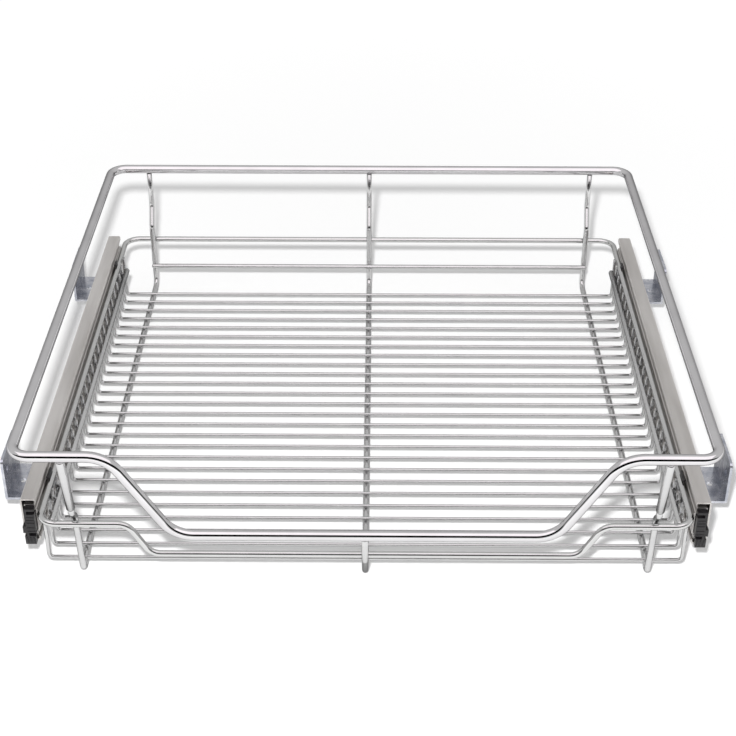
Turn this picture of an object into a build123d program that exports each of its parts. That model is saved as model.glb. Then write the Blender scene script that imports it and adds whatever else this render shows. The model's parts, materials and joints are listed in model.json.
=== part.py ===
"""Pull-out wire basket for a 600 mm base cabinet, on two full-extension ball-bearing slides.

Millimetres. +X to the right, +Y to the back of the cabinet, +Z up. The origin is on the plane
under the feet of the ribs, below the middle of the basket. The slides and brackets are drawn
on the right-hand side and mirrored for the left. In a slide, depth runs from the cabinet's
face of the slide towards the basket, and height runs from the middle of the slide.
"""

import math
import os

from build123d import *

# Wire stock and the play at a weld
RAIL_WIRE = 8.0
RIM_WIRE = 5.0
RIB_WIRE = 5.0
STAY_WIRE = 6.4
SIDE_WIRE = 5.0
REAR_WIRE = 4.5
CROSS_WIRE = 3.0
WELD_GAP = 0.05
CHORDS_PER_QUARTER = 4
CROSS_CHORDS_PER_QUARTER = 2
RAIL_SIDES = 12
RIM_SIDES = 12
RIB_SIDES = 8
CROSS_SIDES = 8

# Top rail, a closed loop whose front dips to a hand grip
RAIL_HALF_WIDTH = 248.0
RAIL_HALF_DEPTH = 236.0
RAIL_ABOVE_RIM = 73.0
RAIL_CORNER = 14.0
RAIL_DIP = 69.0
RAIL_DIP_TOP_HALF = 180.5
RAIL_DIP_FLOOR_HALF = 137.5
RAIL_DIP_BEND = 26.0

# Rim of the basket, a second loop that runs beside the slides
RIM_Z = 54.0
RIM_BEHIND_RAIL_FRONT = 17.0
RIM_CORNER = 14.0
RIM_DIP = 27.5
RIM_DIP_TOP_HALF = 174.5
RIM_DIP_FLOOR_HALF = 158.6
RIM_DIP_BEND = 13.0
RIM_TO_SLIDE = 0.7

# Ribs: down the back, forward under the floor to a foot, and up at the front
RIB_IN_FROM_RAIL = 35.0
WALL_IN_FROM_RAIL = 10.5
JOG_TOP_BELOW_RAIL = 38.0
JOG_BOTTOM_BELOW_RAIL = 58.0
JOG_BEND = 12.0
HEEL_BEND = 9.0
FOOT_BEND = 4.0
NECK_BEND = 7.0
FOOT_DIP = 5.0
FOOT_RUN = 26.0
FOOT_BEHIND_RAIL_FRONT = 28.2
CENTRE_KNEE_BEFORE_RIM = 6.25
RIB_NECK_ABOVE_RIM = 4.0
RIB_KNEE_ABOVE_RIM = 12.0
RIB_KNEE_FORWARD = 7.5
RIB_TIP = 5.0
FOOT_RISE = 0.5

# Floor
CROSS_WIRES = 26
FRONT_CROSS_BEHIND_RAIL_FRONT = 31.2
LAST_CROSS_BEFORE_WALL = 29.5
CROSS_IN_FROM_RIM = 1.5
CROSS_BEND = 3.5
SIDE_WIRE_BELOW_RIM = 12.0
SIDE_WIRE_BEHIND_FIRST_CROSS = 2.8
SIDE_WIRE_BEFORE_LAST_CROSS = 7.4
REAR_WIRE_BELOW_RIM = 25.0
REAR_WIRE_PAST_RIB = 2.5

# Slides
SLIDE_OUTER_X = 255.2
SLIDE_DEPTH = 12.0
SLIDE_LENGTH = 420.0
SLIDE_BEHIND_RAIL_FRONT = 33.3
SLIDE_BELOW_RIM = 9.2
STEEL = 1.2
CABINET_HALF_HEIGHT = 19.0
CABINET_CHANNEL_DEPTH = 11.6
CABINET_MOUTH_HALF = 15.2
MIDDLE_START = 2.6
MIDDLE_END = 10.6
BALL = 3.0
BALL_PLAY = 0.05
OUTER_BALL_DEPTH = 4.6
INNER_BALL_DEPTH = 7.1
MIDDLE_MOUTH_HALF = 10.8
DRAWER_START = 5.2
CHANNEL_BEND = 1.5

# Ball cages, the rear stops and the balls
CAGE_LENGTH = 205.0
CAGE_STEEL = 0.6
CAGE_GAP = 0.4
OUTER_CAGE_END = 7.1
BALLS_PER_ROW = 2
POCKET_PLAY = 0.2
BALL_END_MARGIN = 10.0
BALL_CHAMFER = 0.9
STOP_LENGTH = 4.0
STOP_HALF_HEIGHT = 12.0
STOP_DEPTH = 7.0
STOP_GAP = 0.4

# Front bumpers
BUMPER_FRONT = 4.8
BUMPER_GAP = 0.4
BUMPER_PLUG_LENGTH = 5.0
BUMPER_PLUG_TOP = 0.0
BUMPER_HALF = 8.6
BUMPER_SPINE_START = 3.0
BUMPER_FLANGE_HALF = 11.4
BUMPER_HEAD_TOP = 13.4
BUMPER_FOOT_BOTTOM = -19.0
BUMPER_FOOT_DEPTHS = (1.4, 9.4)
BUMPER_COLLAR = (-8.6, -2.6)
BUMPER_COLLAR_START = 0.6

# Release levers in the drawer members
TRAVEL = 400.0
LEVER_ARM = 20.0
LEVER_PLAY = 0.4
LEVER_THICKNESS = 3.4
LEVER_TOP = -1.0
LEVER_BOTTOM = -6.0
LEVER_BOSS = 7.0
LEVER_PIN = 3.0
LEVER_PIN_PLAY = 0.15
LEVER_SWING = 20.0
FINGER_LENGTH = 6.0
FINGER_HEIGHT = 4.0
FINGER_PROUD = 1.2
FINGER_FROM_PIN = 12.0
WINDOW_PLAY = 1.6

# Lugs that carry the basket on the drawer members
LUG_STEEL = 1.5
LUGS_AFTER_CROSS_WIRES = (3, 24)
LUG_SCREW_BELOW_RIM = 15.5
LUG_HALF_LENGTH = 15.0
LUG_FLANGE_HALF = 5.5
LUG_FLANGE_WIDTH = 4.4
LUG_TOE_HALF = 6.0
LUG_BELOW_SCREW = 6.0
SCREW_DIAMETER = 4.0
SCREW_HEAD = 7.0
SCREW_HEAD_HEIGHT = 1.4
FASTENER_SIDES = 8

# Brackets between the slides and the cabinet's sides
BRACKET_OUTER_X = 282.0
BRACKET_STEEL = 2.0
BRACKET_LENGTH = 45.0
BRACKET_CENTRES_BEHIND_RAIL_FRONT = {"front": 108.5, "rear": 419.0}
BRACKET_HEIGHT = 36.7
BRACKET_BELOW_SLIDE = 3.0
BRACKET_INNER_HEIGHT = 33.7
BRACKET_CORNER = 4.0
BRACKET_BEND = 1.2
MOUNT_HOLE = 4.5
MOUNT_HOLE_SPACING = 25.0
MOUNT_HOLE_ABOVE_BASE = 22.7
BASE_HOLE = 5.0
BASE_HOLE_FROM_OUTER = 9.5
RIVET_SPACING = 24.0
RIVET_ABOVE_BASE = 22.0
RIVET_DIAMETER = 4.0
RIVET_HEAD = 7.0
RIVET_HEAD_HEIGHT = 1.2

# Positions that follow from the sizes above
RAIL_Z = RIM_Z + RAIL_ABOVE_RIM
RAIL_FRONT_Y = -RAIL_HALF_DEPTH
RAIL_REAR_Y = RAIL_HALF_DEPTH
RIB_X = RAIL_HALF_WIDTH - RIB_IN_FROM_RAIL
FOOT_Z = RIB_WIRE / 2 - FOOT_RISE
RIB_FLOOR_Z = FOOT_Z + FOOT_DIP
CROSS_Z = RIB_FLOOR_Z + RIB_WIRE / 2 + CROSS_WIRE / 2 + WELD_GAP
WALL_Y = RAIL_REAR_Y - WALL_IN_FROM_RAIL
RIM_FRONT_Y = RAIL_FRONT_Y + RIM_BEHIND_RAIL_FRONT
RIM_REAR_Y = WALL_Y + RIB_WIRE / 2 + RIM_WIRE / 2 + WELD_GAP
DRAWER_FACE_X = SLIDE_OUTER_X - SLIDE_DEPTH
RIM_HALF_WIDTH = DRAWER_FACE_X - RIM_TO_SLIDE - RIM_WIRE / 2
CROSS_X = RIM_HALF_WIDTH - CROSS_IN_FROM_RIM
CROSS_FRONT_Y = RAIL_FRONT_Y + FRONT_CROSS_BEHIND_RAIL_FRONT
CROSS_REAR_Y = WALL_Y - LAST_CROSS_BEFORE_WALL
CROSS_PITCH = (CROSS_REAR_Y - CROSS_FRONT_Y) / (CROSS_WIRES - 1)
SIDE_WIRE_X = CROSS_X - CROSS_WIRE / 2 - SIDE_WIRE / 2 - WELD_GAP
SLIDE_FRONT_Y = RAIL_FRONT_Y + SLIDE_BEHIND_RAIL_FRONT
SLIDE_REAR_Y = SLIDE_FRONT_Y + SLIDE_LENGTH
SLIDE_MID_Y = (SLIDE_FRONT_Y + SLIDE_REAR_Y) / 2
SLIDE_Z = RIM_Z - SLIDE_BELOW_RIM
INNER_LENGTH = SLIDE_LENGTH - STOP_LENGTH - STOP_GAP
BRACKET_BASE_Z = SLIDE_Z - CABINET_HALF_HEIGHT - BRACKET_BELOW_SLIDE
MIDDLE_HALF_HEIGHT = CABINET_HALF_HEIGHT - STEEL - BALL - 2 * BALL_PLAY
DRAWER_HALF_HEIGHT = MIDDLE_HALF_HEIGHT - STEEL - BALL - 2 * BALL_PLAY
OUTER_ROWS_HALF = MIDDLE_HALF_HEIGHT + BALL_PLAY + BALL / 2
INNER_ROWS_HALF = DRAWER_HALF_HEIGHT + BALL_PLAY + BALL / 2
OUTER_CAGE = (STEEL + CAGE_GAP, OUTER_CAGE_END)
INNER_CAGE = (MIDDLE_START + STEEL + CAGE_GAP, MIDDLE_END - STEEL - CAGE_GAP)
LEVER_PIN_Y = (
    SLIDE_FRONT_Y + BUMPER_PLUG_LENGTH + TRAVEL / 2 + LEVER_PLAY + LEVER_ARM
)
LEVER_PIN_HEIGHT = (LEVER_TOP + LEVER_BOTTOM) / 2
LEVER_DEPTH_END = SLIDE_DEPTH - STEEL - LEVER_PLAY


def rounded_route(points, bends, closed, chords_per_quarter):
    """The corners of a route, with each bend drawn as chords of its arc."""
    count = len(points)
    corners = range(count) if closed else range(1, count - 1)
    route = [] if closed else [Vector(*points[0])]
    for index in corners:
        corner = Vector(*points[index])
        before = (Vector(*points[index - 1]) - corner).normalized()
        after = (Vector(*points[(index + 1) % count]) - corner).normalized()
        bend = bends[index if closed else index - 1]
        half_turn = (180 - before.get_angle(after)) / 2
        reach = bend / math.cos(math.radians(half_turn))
        centre = corner + (before + after).normalized() * reach
        first = corner + before * bend * math.tan(math.radians(half_turn)) - centre
        axis = Axis((0, 0, 0), before.cross(after) * -1)
        chords = max(2, round(chords_per_quarter * half_turn / 45))
        turns = [2 * half_turn * step / chords for step in range(chords + 1)]
        route += [centre + first.rotate(axis, turn) for turn in turns]
    if not closed:
        route.append(Vector(*points[-1]))
    return route


def bent_wire(points, bends, diameter, sides, closed=False, chords=CHORDS_PER_QUARTER):
    """A wire bent round the corners of a route."""
    route = Polyline(*rounded_route(points, bends, closed, chords), close=closed)
    start = Plane(origin=route @ 0, z_dir=route % 0)
    section = start * RegularPolygon(diameter / 2, sides)
    return sweep(section, path=route, transition=Transition.RIGHT)


def rod(start, end, diameter, sides=None):
    """A straight rod, round unless it is given a number of sides."""
    run = Vector(*end) - Vector(*start)
    section = RegularPolygon(diameter / 2, sides) if sides else Circle(diameter / 2)
    return extrude(Plane(origin=start, z_dir=run) * section, run.length)


def block(x_range, y_range, z_range):
    """A box between two limits along each axis."""
    ranges = (x_range, y_range, z_range)
    middle = [(low + high) / 2 for low, high in ranges]
    return Pos(*middle) * Box(*[abs(high - low) for low, high in ranges])


def in_slide(depths, y_range, heights):
    """A box in the right-hand slide, from depths and heights in that slide."""
    x_range = [SLIDE_OUTER_X - depth for depth in depths]
    z_range = [SLIDE_Z + height for height in heights]
    return block(x_range, y_range, z_range)


def mirrored(part):
    """The left-hand twin of a right-hand part."""
    return mirror(part, about=Plane.YZ)


def dipped_loop(half_width, y_range, height, dip, dip_halves, corner, dip_bend, diameter, sides):
    """A closed loop of wire whose front side dips between two S-bends."""
    front, rear = y_range
    top_half, floor_half = dip_halves
    points = [
        (half_width, rear, height),
        (-half_width, rear, height),
        (-half_width, front, height),
        (-top_half, front, height),
        (-floor_half, front, height - dip),
        (floor_half, front, height - dip),
        (top_half, front, height),
        (half_width, front, height),
    ]
    bends = [corner, corner, corner, dip_bend, dip_bend, dip_bend, dip_bend, corner]
    return bent_wire(points, bends, diameter, sides, closed=True)


def top_rail():
    return dipped_loop(
        RAIL_HALF_WIDTH,
        (RAIL_FRONT_Y, RAIL_REAR_Y),
        RAIL_Z,
        RAIL_DIP,
        (RAIL_DIP_TOP_HALF, RAIL_DIP_FLOOR_HALF),
        RAIL_CORNER,
        RAIL_DIP_BEND,
        RAIL_WIRE,
        RAIL_SIDES,
    )


def rim_wire():
    return dipped_loop(
        RIM_HALF_WIDTH,
        (RIM_FRONT_Y, RIM_REAR_Y),
        RIM_Z,
        RIM_DIP,
        (RIM_DIP_TOP_HALF, RIM_DIP_FLOOR_HALF),
        RIM_CORNER,
        RIM_DIP_BEND,
        RIM_WIRE,
        RIM_SIDES,
    )


def below(rail_centre, point, diameter):
    """The end of a wire that comes from a point and stops against a rail."""
    towards = (Vector(*point) - Vector(*rail_centre)).normalized()
    return Vector(*rail_centre) + towards * (diameter / 2 + WELD_GAP)


def rib_back_and_floor(x):
    """The route of a rib from the top rail's back to its foot, with the bends up to there."""
    foot_y = RAIL_FRONT_Y + FOOT_BEHIND_RAIL_FRONT
    points = [
        (x, RAIL_REAR_Y, RAIL_Z - RAIL_WIRE / 2 - WELD_GAP),
        (x, RAIL_REAR_Y, RAIL_Z - JOG_TOP_BELOW_RAIL),
        (x, WALL_Y, RAIL_Z - JOG_BOTTOM_BELOW_RAIL),
        (x, WALL_Y, RIB_FLOOR_Z),
        (x, foot_y + FOOT_RUN, RIB_FLOOR_Z),
        (x, foot_y, FOOT_Z),
    ]
    return points, [JOG_BEND, JOG_BEND, HEEL_BEND, JOG_BEND, FOOT_BEND]


def rib_knee(x):
    """Where a side rib turns up towards the top rail, over the rim."""
    behind_rim = RIM_FRONT_Y + (RIM_WIRE + RIB_WIRE) / 2 + WELD_GAP
    return x, behind_rim - RIB_KNEE_FORWARD, RIM_Z + RIB_KNEE_ABOVE_RIM


def rib_tip(x):
    """Where a side rib ends and its front stay begins."""
    knee = Vector(*rib_knee(x))
    towards_rail = (Vector(x, RAIL_FRONT_Y, RAIL_Z) - knee).normalized()
    return knee + towards_rail * RIB_TIP


def side_rib(x):
    """A rib near one side of the basket, which passes behind the rim at the front."""
    points, bends = rib_back_and_floor(x)
    foot_y = RAIL_FRONT_Y + FOOT_BEHIND_RAIL_FRONT
    behind_rim = RIM_FRONT_Y + (RIM_WIRE + RIB_WIRE) / 2 + WELD_GAP
    lean = (behind_rim - foot_y) / (RIM_Z - FOOT_Z)
    neck = (x, behind_rim + lean * RIB_NECK_ABOVE_RIM, RIM_Z + RIB_NECK_ABOVE_RIM)
    points += [neck, rib_knee(x), tuple(rib_tip(x))]
    return bent_wire(points, bends + [NECK_BEND, NECK_BEND / 2], RIB_WIRE, RIB_SIDES)


def centre_rib():
    """The middle rib, which rises in front of the rim to the hand grip."""
    points, bends = rib_back_and_floor(0)
    knee = (0, RIM_FRONT_Y - CENTRE_KNEE_BEFORE_RIM, RIM_Z - RIM_DIP)
    grip = (0, RAIL_FRONT_Y, RAIL_Z - RAIL_DIP)
    points += [knee, tuple(below(grip, knee, RAIL_WIRE))]
    return bent_wire(points, bends + [NECK_BEND], RIB_WIRE, RIB_SIDES)


def front_stay(x):
    """The thicker rod from a side rib's end up to the top rail."""
    tip = rib_tip(x)
    rail = (x, RAIL_FRONT_Y, RAIL_Z)
    start = tip + (Vector(*rail) - tip).normalized() * WELD_GAP
    return rod(start, below(rail, tip, RAIL_WIRE), STAY_WIRE, RIB_SIDES)


def cross_wire(y):
    """A wire across the floor, bent up at both ends to the rim."""
    leg_top = RIM_Z - RIM_WIRE / 2 - WELD_GAP
    points = [
        (-CROSS_X, y, leg_top),
        (-CROSS_X, y, CROSS_Z),
        (CROSS_X, y, CROSS_Z),
        (CROSS_X, y, leg_top),
    ]
    bends = [CROSS_BEND, CROSS_BEND]
    return bent_wire(points, bends, CROSS_WIRE, CROSS_SIDES, chords=CROSS_CHORDS_PER_QUARTER)


def side_wire():
    """The wire that holds the right-hand legs of the cross wires in line."""
    height = RIM_Z - SIDE_WIRE_BELOW_RIM
    front = CROSS_FRONT_Y + SIDE_WIRE_BEHIND_FIRST_CROSS
    rear = CROSS_REAR_Y - SIDE_WIRE_BEFORE_LAST_CROSS
    return rod((SIDE_WIRE_X, front, height), (SIDE_WIRE_X, rear, height), SIDE_WIRE)


def rear_wire():
    """The straight wire in front of the ribs at the back."""
    half = RIB_X + REAR_WIRE_PAST_RIB
    y = WALL_Y - (RIB_WIRE + REAR_WIRE) / 2 - WELD_GAP
    height = RIM_Z - REAR_WIRE_BELOW_RIM
    return rod((-half, y, height), (half, y, height), REAR_WIRE)


def rounded_channel(depths, y_range, half_height, mouth, mouth_half):
    """A lipped channel, closed towards the cabinet, with its mouth between two depths."""
    outside = in_slide(depths, y_range, (-half_height, half_height))
    outside = fillet(outside.edges().filter_by(Axis.Y), CHANNEL_BEND)
    inside_half = half_height - STEEL
    inside = (depths[0] + STEEL, depths[1] - STEEL)
    hollow = in_slide(inside, y_range, (-inside_half, inside_half))
    return outside - hollow - in_slide(mouth, y_range, (-mouth_half, mouth_half))


def bracket_centres():
    return [RAIL_FRONT_Y + behind for behind in BRACKET_CENTRES_BEHIND_RAIL_FRONT.values()]


def rivet_places():
    """The right-hand rivets between the brackets and the cabinet member, as (y, z)."""
    offsets = (-RIVET_SPACING / 2, RIVET_SPACING / 2)
    height = BRACKET_BASE_Z + RIVET_ABOVE_BASE
    return [(centre + offset, height) for centre in bracket_centres() for offset in offsets]


def cabinet_member():
    """The outer channel of the slide, which stays on the cabinet."""
    channel = rounded_channel(
        (0, CABINET_CHANNEL_DEPTH),
        (SLIDE_FRONT_Y, SLIDE_REAR_Y),
        CABINET_HALF_HEIGHT,
        (CABINET_CHANNEL_DEPTH - STEEL, CABINET_CHANNEL_DEPTH),
        CABINET_MOUTH_HALF,
    )
    for y, z in rivet_places():
        hole_end = (SLIDE_OUTER_X - STEEL, y, z)
        channel -= rod((SLIDE_OUTER_X, y, z), hole_end, RIVET_DIAMETER, FASTENER_SIDES)
    return channel


def middle_member():
    """The middle channel of the slide, which runs at half the basket's speed."""
    return rounded_channel(
        (MIDDLE_START, MIDDLE_END),
        (SLIDE_FRONT_Y, SLIDE_FRONT_Y + INNER_LENGTH),
        MIDDLE_HALF_HEIGHT,
        (MIDDLE_END - STEEL, MIDDLE_END),
        MIDDLE_MOUTH_HALF,
    )


def lever_window():
    """The opening in the drawer member for the release lever's finger tab."""
    reach = FINGER_FROM_PIN + FINGER_LENGTH / 2
    swing = math.radians(LEVER_SWING)
    raised = LEVER_PIN_HEIGHT + reach * math.sin(swing) + FINGER_HEIGHT / 2 * math.cos(swing)
    lowest = LEVER_PIN_HEIGHT - FINGER_HEIGHT / 2
    middle = LEVER_PIN_Y - FINGER_FROM_PIN
    half = FINGER_LENGTH / 2 + WINDOW_PLAY
    heights = (lowest - WINDOW_PLAY, raised + WINDOW_PLAY)
    return in_slide((SLIDE_DEPTH - STEEL, SLIDE_DEPTH), (middle - half, middle + half), heights)


def drawer_member():
    """The inner channel of the slide, which carries the basket."""
    y_range = (SLIDE_FRONT_Y, SLIDE_FRONT_Y + INNER_LENGTH)
    half = DRAWER_HALF_HEIGHT
    outside = in_slide((DRAWER_START, SLIDE_DEPTH), y_range, (-half, half))
    bends = outside.edges().filter_by(Axis.Y).group_by(Axis.X)[0]
    hollow_half = half - STEEL
    hollow_depths = (DRAWER_START, SLIDE_DEPTH - STEEL)
    channel = fillet(bends, CHANNEL_BEND)
    channel -= in_slide(hollow_depths, y_range, (-hollow_half, hollow_half))
    channel -= lever_window()
    pin_z = SLIDE_Z + LEVER_PIN_HEIGHT
    web_end = (DRAWER_FACE_X + STEEL, LEVER_PIN_Y, pin_z)
    hole = LEVER_PIN + 2 * LEVER_PIN_PLAY
    channel -= rod((DRAWER_FACE_X, LEVER_PIN_Y, pin_z), web_end, hole)
    for y in lug_places():
        channel -= lug_screw_hole(y)
    return channel


def ball_places():
    """How far back the balls of a row sit."""
    first = SLIDE_MID_Y - CAGE_LENGTH / 2 + BALL_END_MARGIN
    pitch = (CAGE_LENGTH - 2 * BALL_END_MARGIN) / (BALLS_PER_ROW - 1)
    return [first + pitch * index for index in range(BALLS_PER_ROW)]


def cage(depths, ball_depth, rows_half):
    """A folded strip that spaces one upper and one lower row of balls."""
    start, end = depths
    y_range = (SLIDE_MID_Y - CAGE_LENGTH / 2, SLIDE_MID_Y + CAGE_LENGTH / 2)
    outside = rows_half + CAGE_STEEL / 2
    inside = rows_half - CAGE_STEEL / 2
    folded = in_slide((start, end), y_range, (-outside, outside))
    folded -= in_slide((start + CAGE_STEEL, end), y_range, (-inside, inside))
    pocket = BALL / 2 + POCKET_PLAY
    for y in ball_places():
        for side in (-1, 1):
            folded -= in_slide(
                (ball_depth - pocket, ball_depth + pocket),
                (y - pocket, y + pocket),
                (side * inside, side * outside),
            )
    return folded


def balls(ball_depth, rows_half):
    """The two rows of balls of one cage, as faceted balls."""
    ball = Box(BALL, BALL, BALL)
    ball = chamfer(ball.edges(), BALL_CHAMFER)
    x = SLIDE_OUTER_X - ball_depth
    heights = (SLIDE_Z - rows_half, SLIDE_Z + rows_half)
    return Compound(children=[Pos(x, y, z) * ball for y in ball_places() for z in heights])


def rear_stop():
    """The stop at the rear end of the cabinet member."""
    half = STOP_HALF_HEIGHT
    return in_slide((STEEL, STOP_DEPTH), (SLIDE_REAR_Y - STOP_LENGTH, SLIDE_REAR_Y), (-half, half))


def front_bumper():
    """The moulding on the front end of the middle member, which also stops the lever."""
    front = SLIDE_FRONT_Y - BUMPER_GAP - BUMPER_FRONT
    rear = SLIDE_FRONT_Y - BUMPER_GAP
    face = (front, rear)
    depths = (BUMPER_SPINE_START, SLIDE_DEPTH - STEEL - BUMPER_GAP)
    spine_depths = (BUMPER_SPINE_START, DRAWER_START - BUMPER_GAP)
    spine = in_slide(spine_depths, face, (BUMPER_FOOT_BOTTOM, BUMPER_HEAD_TOP))
    body = in_slide(depths, face, (-BUMPER_HALF, BUMPER_HALF))
    head = in_slide(depths, face, (BUMPER_FLANGE_HALF, BUMPER_HEAD_TOP))
    foot = in_slide(BUMPER_FOOT_DEPTHS, face, (BUMPER_FOOT_BOTTOM, -BUMPER_FLANGE_HALF))
    collar = in_slide((BUMPER_COLLAR_START, depths[1]), face, BUMPER_COLLAR)
    plug = in_slide(
        (MIDDLE_START + STEEL, depths[1]),
        (front, SLIDE_FRONT_Y + BUMPER_PLUG_LENGTH),
        (-BUMPER_HALF, BUMPER_PLUG_TOP),
    )
    return spine + body + collar + head + foot + plug


def release_lever():
    """The lever that meets the front bumper at full travel until its tab is lifted."""
    depths = (LEVER_DEPTH_END - LEVER_THICKNESS, LEVER_DEPTH_END)
    arm = in_slide(depths, (LEVER_PIN_Y - LEVER_ARM, LEVER_PIN_Y), (LEVER_BOTTOM, LEVER_TOP))
    boss_x = SLIDE_OUTER_X - depths[0]
    pin_z = SLIDE_Z + LEVER_PIN_HEIGHT
    boss_end = (SLIDE_OUTER_X - depths[1], LEVER_PIN_Y, pin_z)
    boss = rod((boss_x, LEVER_PIN_Y, pin_z), boss_end, LEVER_BOSS)
    pin = rod((boss_x, LEVER_PIN_Y, pin_z), (DRAWER_FACE_X, LEVER_PIN_Y, pin_z), LEVER_PIN)
    finger_y = LEVER_PIN_Y - FINGER_FROM_PIN
    finger = in_slide(
        (depths[0], SLIDE_DEPTH + FINGER_PROUD),
        (finger_y - FINGER_LENGTH / 2, finger_y + FINGER_LENGTH / 2),
        (LEVER_PIN_HEIGHT - FINGER_HEIGHT / 2, LEVER_PIN_HEIGHT + FINGER_HEIGHT / 2),
    )
    return arm + boss + pin + finger


def lug_places():
    """Where the lugs sit, midway between two legs of the cross wires."""
    return [CROSS_FRONT_Y + CROSS_PITCH * (wire - 0.5) for wire in LUGS_AFTER_CROSS_WIRES]


def lug_screw_hole(y):
    """A hole for a lug screw through the lug and the drawer member."""
    z = RIM_Z - LUG_SCREW_BELOW_RIM
    ends = (DRAWER_FACE_X - LUG_STEEL, DRAWER_FACE_X + STEEL)
    return rod((ends[0], y, z), (ends[1], y, z), SCREW_DIAMETER, FASTENER_SIDES)


def lug(y):
    """A tab screwed to the drawer member, with a flange that carries the rim."""
    top = RIM_Z - RIM_WIRE / 2 - WELD_GAP
    toe = RIM_Z - LUG_SCREW_BELOW_RIM - LUG_BELOW_SCREW
    shoulder = top - LUG_STEEL
    outline = [
        (y - LUG_HALF_LENGTH, top),
        (y - LUG_HALF_LENGTH, shoulder),
        (y - LUG_TOE_HALF, toe),
        (y + LUG_TOE_HALF, toe),
        (y + LUG_HALF_LENGTH, shoulder),
        (y + LUG_HALF_LENGTH, top),
    ]
    plate = extrude(Plane.YZ * make_face(Polyline(*outline, close=True)), LUG_STEEL)
    inner_x = DRAWER_FACE_X - LUG_STEEL
    flange = block(
        (inner_x - LUG_FLANGE_WIDTH, inner_x),
        (y - LUG_FLANGE_HALF, y + LUG_FLANGE_HALF),
        (top - LUG_STEEL, top),
    )
    return Pos(inner_x, 0, 0) * plate + flange - lug_screw_hole(y)


def lug_screw(y):
    z = RIM_Z - LUG_SCREW_BELOW_RIM
    seat = DRAWER_FACE_X - LUG_STEEL
    head = rod((seat - SCREW_HEAD_HEIGHT, y, z), (seat, y, z), SCREW_HEAD, FASTENER_SIDES)
    shank = rod((seat, y, z), (DRAWER_FACE_X + STEEL, y, z), SCREW_DIAMETER, FASTENER_SIDES)
    return head + shank


def bracket(centre_y):
    """A U of sheet steel between the slide and the cabinet's side, with its mounting holes."""
    y_range = (centre_y - BRACKET_LENGTH / 2, centre_y + BRACKET_LENGTH / 2)
    top = BRACKET_BASE_Z + BRACKET_HEIGHT
    inner_top = BRACKET_BASE_Z + BRACKET_INNER_HEIGHT
    base = block((SLIDE_OUTER_X, BRACKET_OUTER_X), y_range, (BRACKET_BASE_Z, inner_top))
    inside = (SLIDE_OUTER_X + BRACKET_STEEL, BRACKET_OUTER_X - BRACKET_STEEL)
    base -= block(inside, y_range, (BRACKET_BASE_Z + BRACKET_STEEL, inner_top))
    wall = block((inside[1], BRACKET_OUTER_X), y_range, (BRACKET_BASE_Z + BRACKET_BEND, top))
    wall_top = wall.edges().filter_by(Axis.X).group_by(Axis.Z)[-1]
    plate = base + fillet(wall_top, BRACKET_CORNER)
    bends = plate.edges().filter_by(Axis.Y).group_by(Axis.Z)[0]
    plate = fillet(bends, BRACKET_BEND)
    hole_z = BRACKET_BASE_Z + MOUNT_HOLE_ABOVE_BASE
    for y in (centre_y - MOUNT_HOLE_SPACING / 2, centre_y + MOUNT_HOLE_SPACING / 2):
        plate -= rod((inside[1], y, hole_z), (BRACKET_OUTER_X, y, hole_z), MOUNT_HOLE)
    base_x = BRACKET_OUTER_X - BASE_HOLE_FROM_OUTER
    base_top = (base_x, centre_y, BRACKET_BASE_Z + BRACKET_STEEL)
    plate -= rod((base_x, centre_y, BRACKET_BASE_Z), base_top, BASE_HOLE)
    for y, z in rivet_places():
        plate -= rod((SLIDE_OUTER_X, y, z), (inside[0], y, z), RIVET_DIAMETER, FASTENER_SIDES)
    return plate


def rivet(y, z):
    """A rivet with its head on the bracket, flush inside the cabinet member."""
    seat = SLIDE_OUTER_X + BRACKET_STEEL
    head = rod((seat, y, z), (seat + RIVET_HEAD_HEIGHT, y, z), RIVET_HEAD, FASTENER_SIDES)
    shank = rod((SLIDE_OUTER_X - STEEL, y, z), (seat, y, z), RIVET_DIAMETER, FASTENER_SIDES)
    return head + shank


def on_both_sides(parts):
    """One node of a right-hand part or parts and their left-hand twins."""
    return Compound(children=parts + [mirrored(part) for part in parts])


def basket_parts():
    parts = {
        "top_rail": top_rail(),
        "rim_wire": rim_wire(),
        "rib_left": side_rib(-RIB_X),
        "rib_centre": centre_rib(),
        "rib_right": side_rib(RIB_X),
        "front_stays": on_both_sides([front_stay(RIB_X)]),
        "side_wires": on_both_sides([side_wire()]),
        "rear_wire": rear_wire(),
        "lugs": on_both_sides([lug(y) for y in lug_places()]),
        "lug_screws": on_both_sides([lug_screw(y) for y in lug_places()]),
    }
    for index in range(CROSS_WIRES):
        parts[f"cross_wire_{index + 1:02d}"] = cross_wire(CROSS_FRONT_Y + CROSS_PITCH * index)
    return parts


def slide_parts():
    """The right-hand slide, part by part."""
    return {
        "cabinet_member": cabinet_member(),
        "middle_member": middle_member(),
        "drawer_member": drawer_member(),
        "outer_cage": cage(OUTER_CAGE, OUTER_BALL_DEPTH, OUTER_ROWS_HALF),
        "inner_cage": cage(INNER_CAGE, INNER_BALL_DEPTH, INNER_ROWS_HALF),
        "outer_balls": balls(OUTER_BALL_DEPTH, OUTER_ROWS_HALF),
        "inner_balls": balls(INNER_BALL_DEPTH, INNER_ROWS_HALF),
        "front_bumper": front_bumper(),
        "release_lever": release_lever(),
        "bracket_front": bracket(bracket_centres()[0]),
        "bracket_rear": bracket(bracket_centres()[1]),
    }


def all_parts():
    parts = basket_parts()
    for name, part in slide_parts().items():
        parts[f"{name}_right"] = part
        parts[f"{name}_left"] = mirrored(part)
    parts["rear_stops"] = on_both_sides([rear_stop()])
    parts["bracket_rivets"] = on_both_sides([rivet(y, z) for y, z in rivet_places()])
    return parts


os.makedirs("parts", exist_ok=True)
for node, part in all_parts().items():
    export_step(part, f"parts/{node}.step")
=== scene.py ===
"""The looks of a pull-out wire basket on two drawer slides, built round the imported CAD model."""

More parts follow.
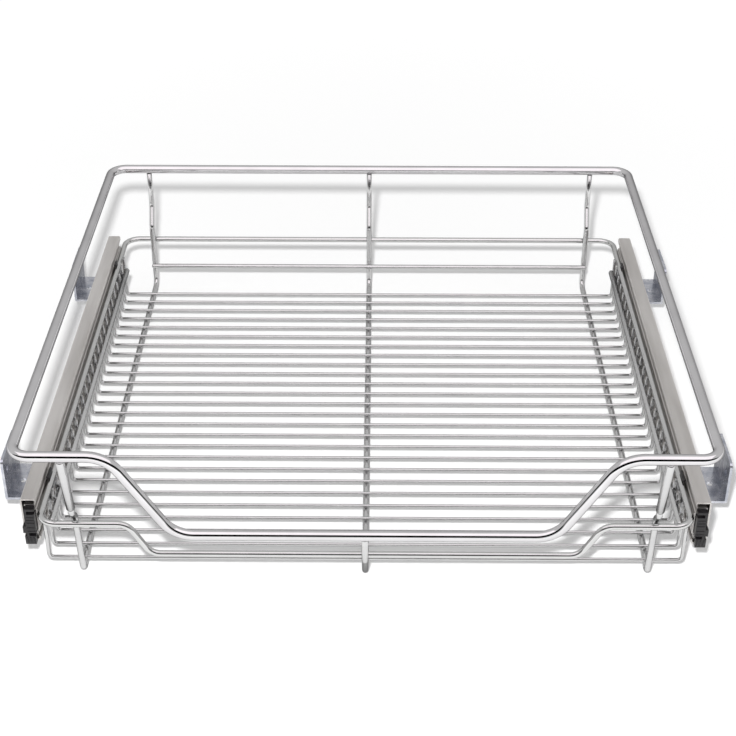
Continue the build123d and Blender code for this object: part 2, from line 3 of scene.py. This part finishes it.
import json
import math
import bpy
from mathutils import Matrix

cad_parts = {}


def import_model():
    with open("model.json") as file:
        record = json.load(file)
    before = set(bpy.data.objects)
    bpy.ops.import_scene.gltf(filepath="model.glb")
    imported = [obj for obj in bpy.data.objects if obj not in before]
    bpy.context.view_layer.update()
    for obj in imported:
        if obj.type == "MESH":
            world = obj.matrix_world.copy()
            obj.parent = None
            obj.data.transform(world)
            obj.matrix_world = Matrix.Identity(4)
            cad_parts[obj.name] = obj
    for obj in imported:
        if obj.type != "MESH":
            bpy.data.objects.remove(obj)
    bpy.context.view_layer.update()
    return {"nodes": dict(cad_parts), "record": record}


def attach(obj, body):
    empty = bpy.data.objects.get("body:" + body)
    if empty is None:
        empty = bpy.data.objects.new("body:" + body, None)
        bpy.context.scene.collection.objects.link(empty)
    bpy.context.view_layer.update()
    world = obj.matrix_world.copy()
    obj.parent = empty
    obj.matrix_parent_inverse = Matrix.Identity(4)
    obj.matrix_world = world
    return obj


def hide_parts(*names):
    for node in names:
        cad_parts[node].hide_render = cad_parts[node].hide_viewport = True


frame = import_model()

from types import SimpleNamespace

import bpy
from mathutils import Matrix, Vector

MM = 0.001
HANDS = ((-1, "left"), (1, "right"))

# The two loops of wire with a dip in the front, in millimetres, as in the CAD model
RAIL = SimpleNamespace(
    node="top_rail",
    wire=8.0,
    half_width=248.0,
    front=-236.0,
    rear=236.0,
    z=127.0,
    corner=14.0,
    dip=69.0,
    dip_top_half=180.5,
    dip_floor_half=137.5,
    dip_bend=26.0,
)
RIM = SimpleNamespace(
    node="rim_wire",
    wire=5.0,
    half_width=240.0,
    front=-219.0,
    rear=230.55,
    z=54.0,
    corner=14.0,
    dip=27.5,
    dip_top_half=174.5,
    dip_floor_half=158.6,
    dip_bend=13.0,
)

# Ribs and front stays
TOUCH = 0.05
RIB_WIRE = 5.0
RIB_X = 213.0
WALL_Y = 225.5
JOG_TOP_Z = 89.0
JOG_BOTTOM_Z = 69.0
JOG_BEND = 12.0
HEEL_BEND = 9.0
FLOOR_Z = 7.0
FOOT_Y = -207.8
FOOT_Z = 2.0
FOOT_RUN = 26.0
FOOT_BEND = 4.0
NECK_ABOVE_RIM = 4.0
NECK_BEND = 7.0
KNEE_ABOVE_RIM = 12.0
KNEE_FORWARD = 7.5
CENTRE_KNEE_BEFORE_RIM = 6.25
RIB_TIP_ABOVE_KNEE = 5.0
STAY_WIRE = 6.4
STAY_DOME = 1.2

# Cross wires, side wires and rear wire
CROSS_WIRE = 3.0
CROSS_WIRES = 26
CROSS_PITCH = 16.032
CROSS_FRONT_Y = -204.8
CROSS_X = 238.5
CROSS_Z = 11.05
CROSS_BEND = 3.5
SIDE_WIRE = 5.0
SIDE_WIRE_X = 234.45
SIDE_WIRE_Y = (-202.0, 188.6)
SIDE_WIRE_Z = 42.0
SIDE_WIRE_DOME = 1.6
REAR_WIRE = 4.5
REAR_WIRE_Y = 220.7
REAR_WIRE_Z = 29.0
REAR_WIRE_PAST_RIB = 2.5
REAR_WIRE_DOME = 1.4

# Small black pieces
CLIP_X = 241.3
CLIP_Z = 58.2
CLIP_THICKNESS = 3.0
CLIP_ENDS_Y = {"front": (-169.0, -156.0), "rear": (167.0, 176.0)}
STUD_ENDS_X = (237.3, 241.6)
STUD_Y = {"front": -168.5, "rear": 168.2}
STUD_Z = 42.8
STUD_THICKNESS = 4.8
SLIDE_OUTER_X = 255.2
BUMPER_FACE_Y = -207.9
RIDGE_THICKNESS = 1.1
RIDGE_DEPTHS = (9.8, 3.6)
BODY_RIDGE_HEIGHTS = (37.6, 40.8, 45.2, 47.8, 50.4)
FOOT_RIDGE_DEPTHS = (3.0, 5.4, 7.8)
FOOT_RIDGE_ENDS_Z = (26.8, 32.4)
ROD_DOME_SHARE = 0.4

# How finely the wires are rounded
CHORD_ANGLE = 0.10
FEWEST_CHORDS = 3
LOOP_SIDES = 32
WIRE_SIDES = 24
CROSS_SIDES = 16
END_RING_SHARES = (0.9, 0.6, 0.25)
FLAT_END_RISE = 0.08
FLAT_END_NARROWING = 0.9

# Grain of the materials; a bump is its strength and its height in metres
EVEN = (1.0, 1.0, 1.0)
GRAIN_ENDS = (0.3, 0.7)
METAL_DETAIL = 3.0
METAL_BUMP = (0.2, 0.00002)
PLASTIC_GRAIN = 900.0
PLASTIC_DETAIL = 4.0
PLASTIC_BUMP = (0.15, 0.00003)

# Camera, fitted to the photograph
CAMERA_AT = (0.0076, -1.0615, 0.7286)
CAMERA_YAW = -0.006655
CAMERA_PITCH = 0.5683
CAMERA_ROLL = -0.001049
FOCAL_PIXELS = 1468.0
PHOTO_PIXELS = 736.0
SENSOR_MM = 36.0
NEAREST_SEEN = 0.01

# Stage and light, in metres; card angles are elevations over the front horizon, in degrees
FLOOR_HALF = 12.0
FLOOR_DROP = 0.0005
FLOOR_GREY = 0.80
FLOOR_LIFT = (0.20, 0.66)
FLOOR_LIFT_REACH = (0.3, 2.4)
KEY_AT = (-0.042, -1.0, 0.826)
KEY_WATTS = 41.0
KEY_RADIUS = 0.028
WORLD_LIGHT = 0.42
WORLD_SEEN = 0.66
CARD_HALF_WIDTH = 2.6
CARD_STEPS = 24
SOFTBOX_RADIUS = 2.6
SOFTBOX_ANGLES = (18.0, 100.0)
SOFTBOX_COLOUR = (1.0, 0.955, 0.98)
SOFTBOX_STRENGTH = 1.4
FLAG_RADIUS = 0.58
FLAG_ANGLES = (14.0, 36.0)


# ---------------------------------------------------------------- materials


def new_material(name):
    """A material with only its Principled shader, and its node tree."""
    material = bpy.data.materials.new(name)
    material.use_nodes = True
    tree = material.node_tree
    shader = tree.nodes["Principled BSDF"]
    return material, tree, shader


def add(tree, kind, **settings):
    """A new node in a tree, with its settings."""
    made = tree.nodes.new(kind)
    for key, value in settings.items():
        setattr(made, key, value)
    return made


def grey(level):
    return (level, level, level)


def object_noise(tree, scale, detail, stretch=EVEN):
    """Noise fixed to the piece's own coordinates; scale is in lumps per metre."""
    where = add(tree, "ShaderNodeTexCoord")
    mapping = add(tree, "ShaderNodeMapping")
    mapping.inputs["Scale"].default_value = stretch
    noise = add(tree, "ShaderNodeTexNoise")
    noise.inputs["Scale"].default_value = scale
    noise.inputs["Detail"].default_value = detail
    tree.links.new(where.outputs["Object"], mapping.inputs["Vector"])
    tree.links.new(mapping.outputs["Vector"], noise.inputs["Vector"])
    return noise.outputs["Fac"]


def ramp(tree, source, low, high):
    """Maps a 0 to 1 value onto two colours or greys."""
    made = add(tree, "ShaderNodeValToRGB")
    for end, place, colour in zip(made.color_ramp.elements, GRAIN_ENDS, (low, high)):
        end.position = place
        end.color = (*colour, 1.0)
    tree.links.new(source, made.inputs["Fac"])
    return made.outputs["Color"]


def bump(tree, shader, source, strength, height):
    made = add(tree, "ShaderNodeBump")
    made.inputs["Strength"].default_value = strength
    made.inputs["Distance"].default_value = height
    tree.links.new(source, made.inputs["Height"])
    tree.links.new(made.outputs["Normal"], shader.inputs["Normal"])


def metal(name, low, high, rough, grain, stretch=EVEN, edge=1.0):
    """A metal whose tone and gloss vary a little; edge, its tint at grazing angles, is painted
    shade that darkens its outlines when below 1.
    """
    material, tree, shader = new_material(name)
    shader.inputs["Metallic"].default_value = 1.0
    # Painted shade: a grey tint at grazing angles darkens the metal's outlines
    shader.inputs["Specular Tint"].default_value = (*grey(edge), 1.0)
    noise = object_noise(tree, grain, METAL_DETAIL, stretch)
    rough_low, rough_high = rough
    tree.links.new(ramp(tree, noise, low, high), shader.inputs["Base Color"])
    tree.links.new(ramp(tree, noise, grey(rough_low), grey(rough_high)), shader.inputs["Roughness"])
    bump(tree, shader, noise, *METAL_BUMP)
    return material


def plastic(name, low, high, rough):
    """A dark plastic with a fine grain."""
    material, tree, shader = new_material(name)
    noise = object_noise(tree, PLASTIC_GRAIN, PLASTIC_DETAIL)
    tree.links.new(ramp(tree, noise, low, high), shader.inputs["Base Color"])
    shader.inputs["Roughness"].default_value = rough
    bump(tree, shader, noise, *PLASTIC_BUMP)
    return material


# Edge values below 1 on the chrome and zinc below are painted shade that darkens their outlines
RAIL_CHROME = metal(
    "rail_chrome",
    low=(0.67, 0.66, 0.67),
    high=(0.73, 0.72, 0.73),
    rough=(0.05, 0.09),
    grain=40.0,
    edge=0.18,
)
RIM_CHROME = metal(
    "rim_chrome",
    low=(0.63, 0.63, 0.625),
    high=(0.68, 0.68, 0.675),
    rough=(0.08, 0.12),
    grain=40.0,
    edge=0.25,
)
RIB_CHROME = metal(
    "rib_chrome", low=grey(0.63), high=grey(0.69), rough=(0.14, 0.20), grain=60.0, edge=0.20
)
# Darker than the rib chrome: painted shade for the shadows between the floor wires; its higher
# roughness is the wires' own gloss
CROSS_CHROME_PAINTED_SHADE = metal(
    "cross_chrome_painted_shade", low=grey(0.58), high=grey(0.64), rough=(0.18, 0.26), grain=60.0, edge=0.25
)
SLIDE_STEEL = metal(
    "slide_steel",
    low=(0.54, 0.515, 0.495),
    high=(0.72, 0.70, 0.68),
    rough=(0.32, 0.46),
    grain=70.0,
    stretch=(1.0, 0.12, 1.0),
)
# Its edge of 0.6 is painted shade on the bracket's outlines
BRACKET_ZINC = metal(
    "bracket_zinc",
    low=(0.38, 0.40, 0.46),
    high=(0.70, 0.705, 0.75),
    rough=(0.14, 0.34),
    grain=120.0,
    edge=0.6,
)
FIXING_STEEL = metal(
    "fixing_steel", low=(0.42, 0.42, 0.43), high=(0.55, 0.55, 0.56), rough=(0.25, 0.35), grain=300.0
)
CAGE_STEEL = metal("cage_steel", low=grey(0.55), high=grey(0.62), rough=(0.3, 0.4), grain=80.0)
BALL_STEEL = metal("ball_steel", low=grey(0.75), high=grey(0.80), rough=(0.08, 0.12), grain=200.0)
DARK_SCREW = plastic("dark_screw", low=grey(0.004), high=(0.012, 0.011, 0.012), rough=0.30)
BLACK_PLASTIC = plastic(
    "black_plastic", low=(0.006, 0.005, 0.006), high=(0.013, 0.012, 0.013), rough=0.34
)

SLOT_MATERIALS = {
    "chrome_wire": RIB_CHROME,
    "slide_steel": SLIDE_STEEL,
    "bracket_zinc": BRACKET_ZINC,
    "fixing_steel": FIXING_STEEL,
    "cage_steel": CAGE_STEEL,
    "ball_steel": BALL_STEEL,
    "black_plastic": BLACK_PLASTIC,
}


def dress_cad_nodes():
    """Gives each CAD node the material of its slot in the record; the lug screws are dark."""
    for part in frame["record"]["subparts"]:
        material = SLOT_MATERIALS[part["material_slot"]]
        if part["node"] == "lug_screws":
            material = DARK_SCREW
        mesh = frame["nodes"][part["node"]].data
        mesh.materials.clear()
        mesh.materials.append(material)


# ---------------------------------------------------------------- round tubes


def rounded_corner(before, corner, after, bend):
    """Points round one corner of a route, between its straight runs."""
    back = (before - corner).normalized()
    onward = (after - corner).normalized()
    half_turn = (math.pi - back.angle(onward)) / 2
    centre = corner + (back + onward).normalized() * (bend / math.cos(half_turn))
    first = corner + back * (bend * math.tan(half_turn)) - centre
    axis = onward.cross(back)
    steps = max(FEWEST_CHORDS, math.ceil(2 * half_turn / CHORD_ANGLE))
    turns = [Matrix.Rotation(2 * half_turn * step / steps, 3, axis) for step in range(steps + 1)]
    return [centre + turn @ first for turn in turns]


def open_route(points, bends):
    """A route in millimetres from its first point to its last, rounded at the points between."""
    corners = [Vector(point) for point in points]
    route = [corners[0]]
    for index, bend in enumerate(bends, start=1):
        route += rounded_corner(corners[index - 1], corners[index], corners[index + 1], bend)
    return route + [corners[-1]]


def closed_route(points, bends):
    """A route in millimetres that comes back to its start, rounded at every point."""
    corners = [Vector(point) for point in points]
    route = []
    for index, bend in enumerate(bends):
        after = corners[(index + 1) % len(corners)]
        route += rounded_corner(corners[index - 1], corners[index], after, bend)
    return route


def tube_rings(route, diameter, sides, closed=False):
    """Round rings along a route, which turn as little as they can from one to the next."""
    count = len(route)
    angles = [2 * math.pi * step / sides for step in range(sides)]
    rings = []
    normal = None
    for index, point in enumerate(route):
        ahead = route[(index + 1) % count] if closed or index < count - 1 else point
        behind = route[index - 1] if closed or index > 0 else point
        along = ((ahead - point).normalized() + (point - behind).normalized()).normalized()
        if normal is None:
            normal = along.orthogonal().normalized()
        else:
            normal = (normal - along * normal.dot(along)).normalized()
        side = along.cross(normal)
        offsets = [normal * math.cos(angle) + side * math.sin(angle) for angle in angles]
        rings.append([point + offset * (diameter / 2) for offset in offsets])
    return rings


def end_rings(ring, centre, outward, rise, narrowing):
    """Ever smaller rings that end a tube in a shallow dome, from its last ring outward."""
    made = [[p - outward * rise for p in ring]]
    for share in END_RING_SHARES:
        lift = rise * math.sqrt(1 - share**2) - rise
        shrink = 1 - (1 - share) * narrowing
        made.append([centre + (p - centre) * shrink + outward * lift for p in ring])
    return made


def span_faces(near, far, sides, shift=0):
    """Faces between two rings, given by the numbers of their first vertices."""
    faces = []
    for here in range(sides):
        there = (here + 1) % sides
        far_here = far + (here + shift) % sides
        far_there = far + (there + shift) % sides
        faces.append((near + here, near + there, far_there, far_here))
    return faces


def closing_shift(rings):
    """How many sides a closed tube's last ring has turned against its first."""
    first_centre, last_centre = (sum(ring, Vector()) / len(ring) for ring in (rings[0], rings[-1]))
    last = rings[-1][0] - last_centre
    distances = [(p - first_centre - last).length for p in rings[0]]
    return distances.index(min(distances))


def tube_faces(rings, closed):
    """Faces along a tube, and those that join its ends or cap them."""
    sides = len(rings[0])
    starts = [index * sides for index in range(len(rings))]
    faces = []
    for near, far in zip(starts, starts[1:]):
        faces += span_faces(near, far, sides)
    if closed:
        return faces + span_faces(starts[-1], starts[0], sides, closing_shift(rings))
    first_cap = tuple(reversed(range(sides)))
    last_cap = tuple(range(starts[-1], starts[-1] + sides))
    return faces + [first_cap, last_cap]


def smooth_mesh(name, rings, closed=False):
    vertices = [tuple(p * MM) for ring in rings for p in ring]
    mesh = bpy.data.meshes.new(name)
    mesh.from_pydata(vertices, [], tube_faces(rings, closed))
    mesh.validate()
    mesh.update()
    for polygon in mesh.polygons:
        polygon.use_smooth = True
    return mesh


def open_tube(name, route, diameter, sides=WIRE_SIDES, dome=None):
    """A tube whose ends are cut flat with a soft edge, or are domes of the given rise."""
    rise, narrowing = (dome, 1.0) if dome else (diameter * FLAT_END_RISE, FLAT_END_NARROWING)
    rings = tube_rings(route, diameter, sides)
    start = (route[0] - route[1]).normalized()
    end = (route[-1] - route[-2]).normalized()
    first = end_rings(rings[0], route[0], start, rise, narrowing)
    last = end_rings(rings[-1], route[-1], end, rise, narrowing)
    return smooth_mesh(name, first[::-1] + rings[1:-1] + last)


def add_piece(name, mesh, body, material, replaced=()):
    """A visible piece that rides on a body, in the place of the CAD nodes that it replaces."""
    made = bpy.data.objects.new(name, mesh)
    bpy.context.scene.collection.objects.link(made)
    mesh.materials.append(material)
    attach(made, body)
    if replaced:
        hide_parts(*replaced)


# ---------------------------------------------------------------- wires


def wire(name, route, diameter, replaced, material=RIB_CHROME, **finish):
    """A wire of the basket with two free ends; finish is the tube's sides and dome."""
    add_piece(name, open_tube(name, route, diameter, **finish), "basket", material, replaced)


def dipped_loop(loop, material):
    """A loop of wire with a dip in its front, in the place of its CAD node."""
    dip_z = loop.z - loop.dip
    points = [
        (loop.half_width, loop.rear, loop.z),
        (-loop.half_width, loop.rear, loop.z),
        (-loop.half_width, loop.front, loop.z),
        (-loop.dip_top_half, loop.front, loop.z),
        (-loop.dip_floor_half, loop.front, dip_z),
        (loop.dip_floor_half, loop.front, dip_z),
        (loop.dip_top_half, loop.front, loop.z),
        (loop.half_width, loop.front, loop.z),
    ]
    bends = 3 * [loop.corner] + 4 * [loop.dip_bend] + [loop.corner]
    name = loop.node + "_round"
    rings = tube_rings(closed_route(points, bends), loop.wire, LOOP_SIDES, closed=True)
    add_piece(name, smooth_mesh(name, rings, closed=True), "basket", material, [loop.node])


def meet_rail(centre, point):
    """The end of a wire that runs from a point towards the top rail's centre."""
    away = (Vector(point) - Vector(centre)).normalized()
    return Vector(centre) + away * (RAIL.wire / 2 + TOUCH)


def rib_back_and_floor(x):
    """A rib from the rear of the top rail, down the back and under the floor to its foot."""
    points = [
        (x, RAIL.rear, RAIL.z - RAIL.wire / 2 - TOUCH),
        (x, RAIL.rear, JOG_TOP_Z),
        (x, WALL_Y, JOG_BOTTOM_Z),
        (x, WALL_Y, FLOOR_Z),
        (x, FOOT_Y + FOOT_RUN, FLOOR_Z),
        (x, FOOT_Y, FOOT_Z),
    ]
    return points, [JOG_BEND, JOG_BEND, HEEL_BEND, JOG_BEND, FOOT_BEND]


def side_rib(name, x):
    """A rib near the side. Gives the two ends of the stay that joins it to the top rail."""
    points, bends = rib_back_and_floor(x)
    behind_rim = RIM.front + (RIM.wire + RIB_WIRE) / 2 + TOUCH
    lean = (behind_rim - FOOT_Y) / (RIM.z - FOOT_Z)
    neck = (x, behind_rim + lean * NECK_ABOVE_RIM, RIM.z + NECK_ABOVE_RIM)
    knee = (x, behind_rim - KNEE_FORWARD, RIM.z + KNEE_ABOVE_RIM)
    rail = (x, RAIL.front, RAIL.z)
    tip = Vector(knee) + (Vector(rail) - Vector(knee)).normalized() * RIB_TIP_ABOVE_KNEE
    points += [neck, knee, tip]
    bends += [NECK_BEND, NECK_BEND / 2]
    wire(name + "_round", open_route(points, bends), RIB_WIRE, [name])
    return [tip, meet_rail(rail, tip)]


def centre_rib():
    """The middle rib, which goes up to the floor of the top rail's dip."""
    points, bends = rib_back_and_floor(0.0)
    knee = (0.0, RIM.front - CENTRE_KNEE_BEFORE_RIM, RIM.z - RIM.dip)
    points += [knee, meet_rail((0.0, RAIL.front, RAIL.z - RAIL.dip), knee)]
    bends += [NECK_BEND]
    wire("rib_centre_round", open_route(points, bends), RIB_WIRE, ["rib_centre"])


def ribs_and_stays():
    for side, name in HANDS:
        stay_ends = side_rib("rib_" + name, side * RIB_X)
        wire("front_stay_" + name, stay_ends, STAY_WIRE, ["front_stays"], dome=STAY_DOME)
    centre_rib()


def cross_wires():
    """Shallow U shapes that hang from the rim and make the basket's floor."""
    top = RIM.z - RIM.wire / 2 - TOUCH
    for index in range(CROSS_WIRES):
        y = CROSS_FRONT_Y + CROSS_PITCH * index
        points = [
            (-CROSS_X, y, top),
            (-CROSS_X, y, CROSS_Z),
            (CROSS_X, y, CROSS_Z),
            (CROSS_X, y, top),
        ]
        route = open_route(points, [CROSS_BEND, CROSS_BEND])
        name = f"cross_wire_{index + 1:02d}"
        # The cross wires' chrome carries painted shade, darker than the ribs'
        wire(name + "_round", route, CROSS_WIRE, [name], CROSS_CHROME_PAINTED_SHADE, sides=CROSS_SIDES)


def long_wires():
    """The two side wires and the rear wire."""
    for side, name in HANDS:
        ends = [Vector((side * SIDE_WIRE_X, y, SIDE_WIRE_Z)) for y in SIDE_WIRE_Y]
        wire("side_wire_" + name, ends, SIDE_WIRE, ["side_wires"], dome=SIDE_WIRE_DOME)
    half = RIB_X + REAR_WIRE_PAST_RIB
    ends = [Vector((x, REAR_WIRE_Y, REAR_WIRE_Z)) for x in (-half, half)]
    wire("rear_wire_round", ends, REAR_WIRE, ["rear_wire"], dome=REAR_WIRE_DOME)


# ---------------------------------------------------------------- small black pieces


def black_rod(name, ends, diameter, body):
    route = [Vector(end) for end in ends]
    mesh = open_tube(name, route, diameter, dome=diameter * ROD_DOME_SHARE)
    add_piece(name, mesh, body, BLACK_PLASTIC)


def lug_trim():
    """The black clip that lies on the rim beside each lug, and the stud that shows between legs."""
    for side, hand in HANDS:
        for place, clip_ends in CLIP_ENDS_Y.items():
            ends = [(side * CLIP_X, y, CLIP_Z) for y in clip_ends]
            black_rod(f"lug_clip_{place}_{hand}", ends, CLIP_THICKNESS, "basket")
        for place, y in STUD_Y.items():
            ends = [(side * x, y, STUD_Z) for x in STUD_ENDS_X]
            black_rod(f"lug_stud_{place}_{hand}", ends, STUD_THICKNESS, "basket")


def bumper_ridges():
    """The grip ridges moulded on each bumper's face: level on its body, upright on its foot."""
    for side, hand in HANDS:
        body = "middle_" + hand
        for number, z in enumerate(BODY_RIDGE_HEIGHTS, start=1):
            ends = [(side * (SLIDE_OUTER_X - depth), BUMPER_FACE_Y, z) for depth in RIDGE_DEPTHS]
            black_rod(f"bumper_ridge_{hand}_{number}", ends, RIDGE_THICKNESS, body)
        for number, depth in enumerate(FOOT_RIDGE_DEPTHS, start=1):
            x = side * (SLIDE_OUTER_X - depth)
            ends = [(x, BUMPER_FACE_Y, z) for z in FOOT_RIDGE_ENDS_Z]
            black_rod(f"foot_ridge_{hand}_{number}", ends, RIDGE_THICKNESS, body)


# ---------------------------------------------------------------- stage


def seen_rays(tree):
    """1 for a ray from the camera, or one that metal or glass sends on, and 0 for light."""
    path = add(tree, "ShaderNodeLightPath")
    direct = add(tree, "ShaderNodeMath", operation="MAXIMUM")
    either = add(tree, "ShaderNodeMath", operation="MAXIMUM")
    tree.links.new(path.outputs["Is Camera Ray"], direct.inputs[0])
    tree.links.new(path.outputs["Is Glossy Ray"], direct.inputs[1])
    tree.links.new(direct.outputs["Value"], either.inputs[0])
    tree.links.new(path.outputs["Is Transmission Ray"], either.inputs[1])
    return either.outputs["Value"]


def floor_lift(tree):
    """How much the floor glows where it is seen: more, the farther it is from the object."""
    where = add(tree, "ShaderNodeTexCoord")
    distance = add(tree, "ShaderNodeVectorMath", operation="LENGTH")
    level = add(tree, "ShaderNodeMapRange")
    lift = add(tree, "ShaderNodeMath", operation="MULTIPLY")
    ends = ("From Min", "From Max", "To Min", "To Max")
    for end, value in zip(ends, FLOOR_LIFT_REACH + FLOOR_LIFT):
        level.inputs[end].default_value = value
    tree.links.new(where.outputs["Object"], distance.inputs[0])
    tree.links.new(distance.outputs["Value"], level.inputs["Value"])
    tree.links.new(seen_rays(tree), lift.inputs[0])
    tree.links.new(level.outputs["Result"], lift.inputs[1])
    return lift.outputs["Value"]


def floor_white():
    """A matt white that keeps shadows, and stays white where the lamp grows faint."""
    material, tree, shader = new_material("floor_white")
    shader.inputs["Base Color"].default_value = (*grey(FLOOR_GREY), 1.0)
    shader.inputs["Roughness"].default_value = 1.0
    shader.inputs["Specular IOR Level"].default_value = 0.0
    glow = add(tree, "ShaderNodeEmission")
    both = add(tree, "ShaderNodeAddShader")
    tree.links.new(floor_lift(tree), glow.inputs["Strength"])
    tree.links.new(shader.outputs["BSDF"], both.inputs[0])
    tree.links.new(glow.outputs["Emission"], both.inputs[1])
    tree.links.new(both.outputs["Shader"], tree.nodes["Material Output"].inputs["Surface"])
    return material


def floor():
    mesh = bpy.data.meshes.new("floor")
    half = FLOOR_HALF
    corners = [(-half, -half, 0.0), (half, -half, 0.0), (half, half, 0.0), (-half, half, 0.0)]
    mesh.from_pydata(corners, [], [(0, 1, 2, 3)])
    mesh.materials.append(floor_white())
    made = bpy.data.objects.new("floor", mesh)
    made.location.z = -FLOOR_DROP
    bpy.context.scene.collection.objects.link(made)


def key_light():
    """A small lamp in front that doesn't fade with distance. Metal mirrors the cards instead."""
    light = bpy.data.lights.new("key", "POINT")
    light.energy = KEY_WATTS
    light.shadow_soft_size = KEY_RADIUS
    light.use_nodes = True
    tree = light.node_tree
    reach = add(tree, "ShaderNodeLightFalloff")
    reach.inputs["Strength"].default_value = 1.0
    tree.links.new(reach.outputs["Constant"], tree.nodes["Emission"].inputs["Strength"])
    made = bpy.data.objects.new("key", light)
    made.location = KEY_AT
    made.visible_glossy = False
    bpy.context.scene.collection.objects.link(made)


def card_mesh(name, radius, angles):
    """A sheet bent round the object, between two elevations over the front horizon."""
    low, high = (math.radians(angle) for angle in angles)
    vertices = []
    for step in range(CARD_STEPS + 1):
        angle = low + (high - low) * step / CARD_STEPS
        y = -radius * math.cos(angle)
        z = radius * math.sin(angle)
        vertices += [(-CARD_HALF_WIDTH, y, z), (CARD_HALF_WIDTH, y, z)]
    corners = range(0, 2 * CARD_STEPS, 2)
    faces = [(corner, corner + 1, corner + 3, corner + 2) for corner in corners]
    mesh = bpy.data.meshes.new(name)
    mesh.from_pydata(vertices, [], faces)
    return mesh


def card(name, radius, angles, colour, strength):
    """A studio card that only metal mirrors: it casts no shadow, and lights nothing matt."""
    material, _, shader = new_material(name)
    shader.inputs["Base Color"].default_value = (*grey(0.0), 1.0)
    shader.inputs["Specular IOR Level"].default_value = 0.0
    shader.inputs["Emission Color"].default_value = (*colour, 1.0)
    shader.inputs["Emission Strength"].default_value = strength
    mesh = card_mesh(name, radius, angles)
    mesh.materials.append(material)
    made = bpy.data.objects.new(name, mesh)
    made.visible_camera = False
    made.visible_shadow = False
    made.visible_diffuse = False
    bpy.context.scene.collection.objects.link(made)


def cards():
    """A softbox overhead, and a dark flag near the front that draws a black line on the chrome."""
    card("softbox", SOFTBOX_RADIUS, SOFTBOX_ANGLES, SOFTBOX_COLOUR, SOFTBOX_STRENGTH)
    card("flag", FLAG_RADIUS, FLAG_ANGLES, grey(0.0), 0.0)


def world():
    """A plain grey room, which looks paler than the light that it gives."""
    made = bpy.data.worlds.new("studio")
    made.use_nodes = True
    tree = made.node_tree
    background = tree.nodes["Background"]
    background.inputs["Color"].default_value = (*grey(1.0), 1.0)
    level = add(tree, "ShaderNodeMapRange")
    level.inputs["To Min"].default_value = WORLD_LIGHT
    level.inputs["To Max"].default_value = WORLD_SEEN
    tree.links.new(seen_rays(tree), level.inputs["Value"])
    tree.links.new(level.outputs["Result"], background.inputs["Strength"])
    bpy.context.scene.world = made


def camera():
    data = bpy.data.cameras.new("camera")
    data.sensor_width = SENSOR_MM
    data.lens = FOCAL_PIXELS * SENSOR_MM / PHOTO_PIXELS
    data.clip_start = NEAREST_SEEN
    sin_yaw, cos_yaw = math.sin(CAMERA_YAW), math.cos(CAMERA_YAW)
    sin_pitch, cos_pitch = math.sin(CAMERA_PITCH), math.cos(CAMERA_PITCH)
    sin_roll, cos_roll = math.sin(CAMERA_ROLL), math.cos(CAMERA_ROLL)
    forward = Vector((sin_yaw * cos_pitch, cos_yaw * cos_pitch, -sin_pitch))
    level_right = Vector((cos_yaw, -sin_yaw, 0.0))
    level_down = forward.cross(level_right)
    right = level_right * cos_roll + level_down * sin_roll
    down = level_down * cos_roll - level_right * sin_roll
    axes = Matrix((right, -down, -forward)).transposed()
    made = bpy.data.objects.new("camera", data)
    made.matrix_world = Matrix.Translation(CAMERA_AT) @ axes.to_4x4()
    bpy.context.scene.collection.objects.link(made)
    bpy.context.scene.camera = made


def main():
    bpy.context.scene.view_settings.view_transform = "Standard"
    camera()
    world()
    floor()
    key_light()
    cards()
    dress_cad_nodes()
    dipped_loop(RAIL, RAIL_CHROME)
    dipped_loop(RIM, RIM_CHROME)
    ribs_and_stays()
    cross_wires()
    long_wires()
    lug_trim()
    bumper_ridges()


main()
